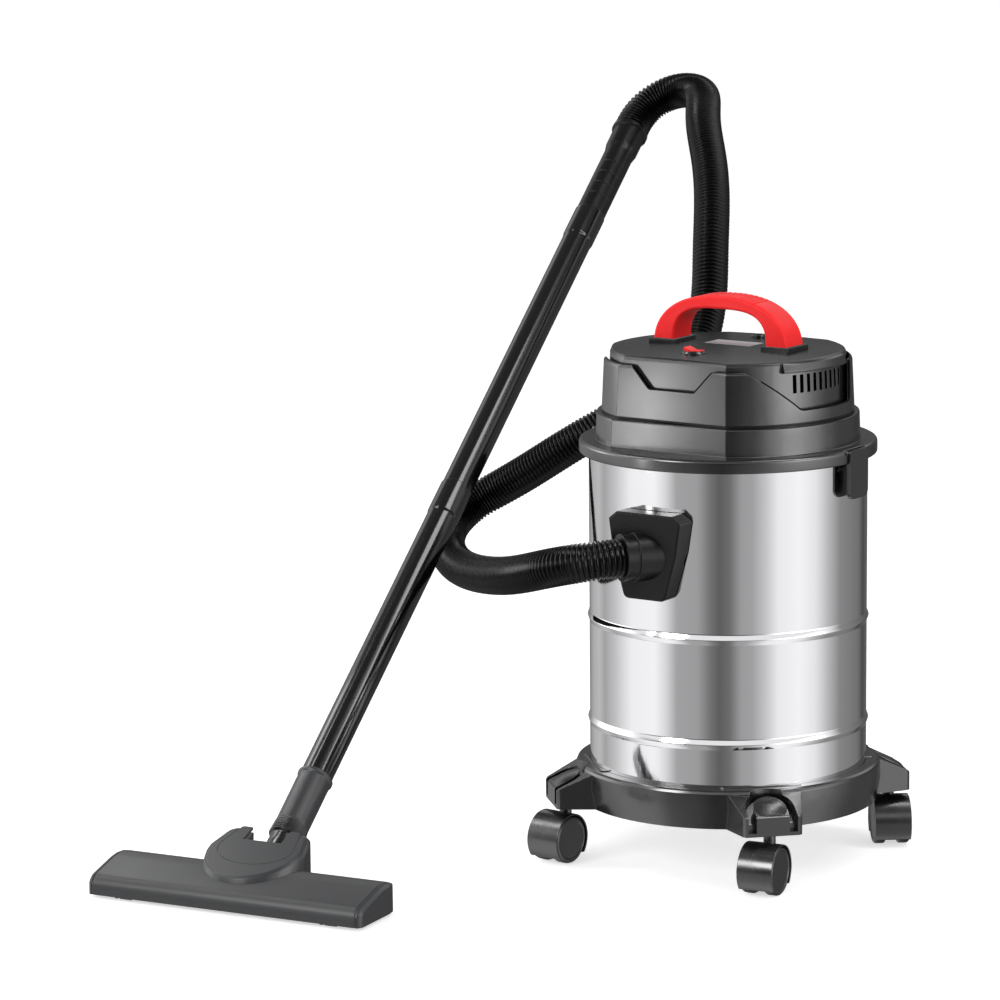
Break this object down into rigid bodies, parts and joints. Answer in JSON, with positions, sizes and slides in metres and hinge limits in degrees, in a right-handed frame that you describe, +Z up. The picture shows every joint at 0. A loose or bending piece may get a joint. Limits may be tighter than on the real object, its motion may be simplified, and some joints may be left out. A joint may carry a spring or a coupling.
{
  "type": "shop vacuum",
  "caption": "Wet and dry shop vacuum: steel tank on twin-wheel casters, latched motor head with carrying handle, corrugated hose, straight wand and wide floor nozzle.",
  "frame": {"origin": "on the floor, under the tank's axis", "axes": "+Z up, -Y towards the hose inlet (the front), +X to the right seen from the front"},
  "size_m": [0.6443, 1.077, 0.7955],
  "materials": {
    "black_plastic": "moulded",
    "brush_bristle": "dense bristles",
    "dark_plastic": "fine moulded texture",
    "fan_aluminium": "pressed sheet",
    "filter_foam": "open-cell foam",
    "float_plastic": "moulded",
    "grey_plate": "blank satin plate",
    "hose_plastic": "satin corrugated hose",
    "plated_steel": "zinc plated",
    "polished_steel": "mirror polished stainless steel",
    "red_plastic": "gloss moulded",
    "roller_rubber": "solid",
    "seal_rubber": "soft",
    "smooth_plastic": "satin moulded",
    "tube_enamel": "gloss dark grey enamel"
  },
  "bodies": {
    "root": {"tank_shell": "polished_steel", "base_ring": "dark_plastic", "boss_caps": "dark_plastic", "base_screws": "plated_steel", "inlet_housing": "smooth_plastic", "inlet_gasket": "seal_rubber", "hose_connector": "smooth_plastic", "hose": "hose_plastic", "wand_cuff": "smooth_plastic", "wand_upper_tube": "tube_enamel", "wand_lower_tube": "tube_enamel", "neck_cuff": "dark_plastic"},
    "head": {"tank_seal": "seal_rubber", "head_base": "dark_plastic", "head_shell": "dark_plastic", "head_cap": "dark_plastic", "handle": "red_plastic", "handle_bezels": "black_plastic", "switch_bezel": "black_plastic", "label_plate": "grey_plate", "cord_gland": "black_plastic", "latch_pins": "plated_steel", "motor_seal": "seal_rubber", "motor_housing": "black_plastic", "float_cage": "black_plastic", "foam_filter": "filter_foam", "head_screws": "plated_steel"},
    "rotor": {"motor_rotor": "plated_steel", "motor_fan": "fan_aluminium"},
    "float": {"float_cup": "float_plastic"},
    "latch_left": {"latch_left": "dark_plastic"},
    "latch_right": {"latch_right": "dark_plastic"},
    "rocker": {"switch_rocker": "red_plastic"},
    "caster_front_left": {"caster_front_left_hood": "dark_plastic", "caster_front_left_pins": "plated_steel"},
    "caster_front_left_wheel_a": {"caster_front_left_wheel_a": "smooth_plastic"},
    "caster_front_left_wheel_b": {"caster_front_left_wheel_b": "smooth_plastic"},
    "caster_front_right": {"caster_front_right_hood": "dark_plastic", "caster_front_right_pins": "plated_steel"},
    "caster_front_right_wheel_a": {"caster_front_right_wheel_a": "smooth_plastic"},
    "caster_front_right_wheel_b": {"caster_front_right_wheel_b": "smooth_plastic"},
    "caster_rear_left": {"caster_rear_left_hood": "dark_plastic", "caster_rear_left_pins": "plated_steel"},
    "caster_rear_left_wheel_a": {"caster_rear_left_wheel_a": "smooth_plastic"},
    "caster_rear_left_wheel_b": {"caster_rear_left_wheel_b": "smooth_plastic"},
    "caster_rear_right": {"caster_rear_right_hood": "dark_plastic", "caster_rear_right_pins": "plated_steel"},
    "caster_rear_right_wheel_a": {"caster_rear_right_wheel_a": "smooth_plastic"},
    "caster_rear_right_wheel_b": {"caster_rear_right_wheel_b": "smooth_plastic"},
    "neck": {"neck_swivel": "black_plastic"},
    "nozzle": {"nozzle_shell": "dark_plastic", "nozzle_end_caps": "dark_plastic", "nozzle_sole": "black_plastic", "pivot_cover": "dark_plastic", "roller_pins": "plated_steel"},
    "pedal": {"brush_pedal": "dark_plastic"},
    "brush": {"brush_strips": "brush_bristle"},
    "roller_left": {"roller_left": "roller_rubber"},
    "roller_right": {"roller_right": "roller_rubber"}
  },
  "joints": [
    {"name": "head_lift", "type": "slide", "parent": "root", "child": "head", "axis": [0, 0, 1], "range_m": [0, 0.3]},
    {"name": "motor_spin", "type": "hinge", "parent": "head", "child": "rotor", "pos_m": [0, 0, 0.49], "axis": [0, 0, 1], "continuous": true},
    {"name": "float_rise", "type": "slide", "parent": "head", "child": "float", "axis": [0, 0, 1], "range_m": [0, 0.0345]},
    {"name": "latch_left_open", "type": "hinge", "parent": "head", "child": "latch_left", "pos_m": [-0.15775, 0, 0.45385], "axis": [0, 1, 0], "range_deg": [0, 100]},
    {"name": "latch_right_open", "type": "hinge", "parent": "head", "child": "latch_right", "pos_m": [0.15775, 0, 0.45385], "axis": [0, -1, 0], "range_deg": [0, 100]},
    {"name": "switch_rock", "type": "hinge", "parent": "head", "child": "rocker", "pos_m": [0, -0.07, 0.5567], "axis": [0, 1, 0], "range_deg": [-20, 0]},
    {"name": "caster_front_left_swivel", "type": "hinge", "parent": "root", "child": "caster_front_left", "pos_m": [-0.12799, -0.12799, 0.06], "axis": [0, 0, 1], "continuous": true},
    {"name": "caster_front_left_wheel_a_spin", "type": "hinge", "parent": "caster_front_left", "child": "caster_front_left_wheel_a", "pos_m": [-0.12903, -0.14295, 0.026], "axis": [0.9976, -0.0698, 0], "continuous": true},
    {"name": "caster_front_left_wheel_b_spin", "type": "hinge", "parent": "caster_front_left", "child": "caster_front_left_wheel_b", "pos_m": [-0.12903, -0.14295, 0.026], "axis": [0.9976, -0.0698, 0], "continuous": true},
    {"name": "caster_front_right_swivel", "type": "hinge", "parent": "root", "child": "caster_front_right", "pos_m": [0.12799, -0.12799, 0.06], "axis": [0, 0, 1], "continuous": true},
    {"name": "caster_front_right_wheel_a_spin", "type": "hinge", "parent": "caster_front_right", "child": "caster_front_right_wheel_a", "pos_m": [0.13007, -0.14284, 0.026], "axis": [0.9903, 0.1392, 0], "continuous": true},
    {"name": "caster_front_right_wheel_b_spin", "type": "hinge", "parent": "caster_front_right", "child": "caster_front_right_wheel_b", "pos_m": [0.13007, -0.14284, 0.026], "axis": [0.9903, 0.1392, 0], "continuous": true},
    {"name": "caster_rear_left_swivel", "type": "hinge", "parent": "root", "child": "caster_rear_left", "pos_m": [-0.12799, 0.12799, 0.06], "axis": [0, 0, 1], "continuous": true},
    {"name": "caster_rear_left_wheel_a_spin", "type": "hinge", "parent": "caster_rear_left", "child": "caster_rear_left_wheel_a", "pos_m": [-0.13549, 0.115, 0.026], "axis": [0.866, -0.5, 0], "continuous": true},
    {"name": "caster_rear_left_wheel_b_spin", "type": "hinge", "parent": "caster_rear_left", "child": "caster_rear_left_wheel_b", "pos_m": [-0.13549, 0.115, 0.026], "axis": [0.866, -0.5, 0], "continuous": true},
    {"name": "caster_rear_right_swivel", "type": "hinge", "parent": "root", "child": "caster_rear_right", "pos_m": [0.12799, 0.12799, 0.06], "axis": [0, 0, 1], "continuous": true},
    {"name": "caster_rear_right_wheel_a_spin", "type": "hinge", "parent": "caster_rear_right", "child": "caster_rear_right_wheel_a", "pos_m": [0.13722, 0.11617, 0.026], "axis": [0.788, 0.6157, 0], "continuous": true},
    {"name": "caster_rear_right_wheel_b_spin", "type": "hinge", "parent": "caster_rear_right", "child": "caster_rear_right_wheel_b", "pos_m": [0.13722, 0.11617, 0.026], "axis": [0.788, 0.6157, 0], "continuous": true},
    {"name": "neck_turn", "type": "hinge", "parent": "root", "child": "neck", "pos_m": [-0.316, -0.411, 0.024], "axis": [-0.096, 0.7821, 0.6157], "range_deg": [-90, 90]},
    {"name": "nozzle_tilt", "type": "hinge", "parent": "neck", "child": "nozzle", "pos_m": [-0.316, -0.411, 0.024], "axis": [0.9925, 0.1219, 0], "range_deg": [-50, 30]},
    {"name": "pedal_rock", "type": "hinge", "parent": "nozzle", "child": "pedal", "pos_m": [-0.31259, -0.4388, 0.05381], "axis": [0.9925, 0.1219, 0], "range_deg": [0, 5]},
    {"name": "brush_lift", "type": "slide", "parent": "nozzle", "child": "brush", "axis": [0, 0, 1], "range_m": [0, 0.0036]},
    {"name": "roller_left_spin", "type": "hinge", "parent": "nozzle", "child": "roller_left", "pos_m": [-0.42675, -0.5183, 0.007], "axis": [0.9925, 0.1219, 0], "continuous": true},
    {"name": "roller_right_spin", "type": "hinge", "parent": "nozzle", "child": "roller_right", "pos_m": [-0.18258, -0.48832, 0.007], "axis": [0.9925, 0.1219, 0], "continuous": true}
  ],
  "couplings": [
    {"joint": "brush_lift", "follows": "pedal_rock", "m_per_rad": 0.04}
  ]
}
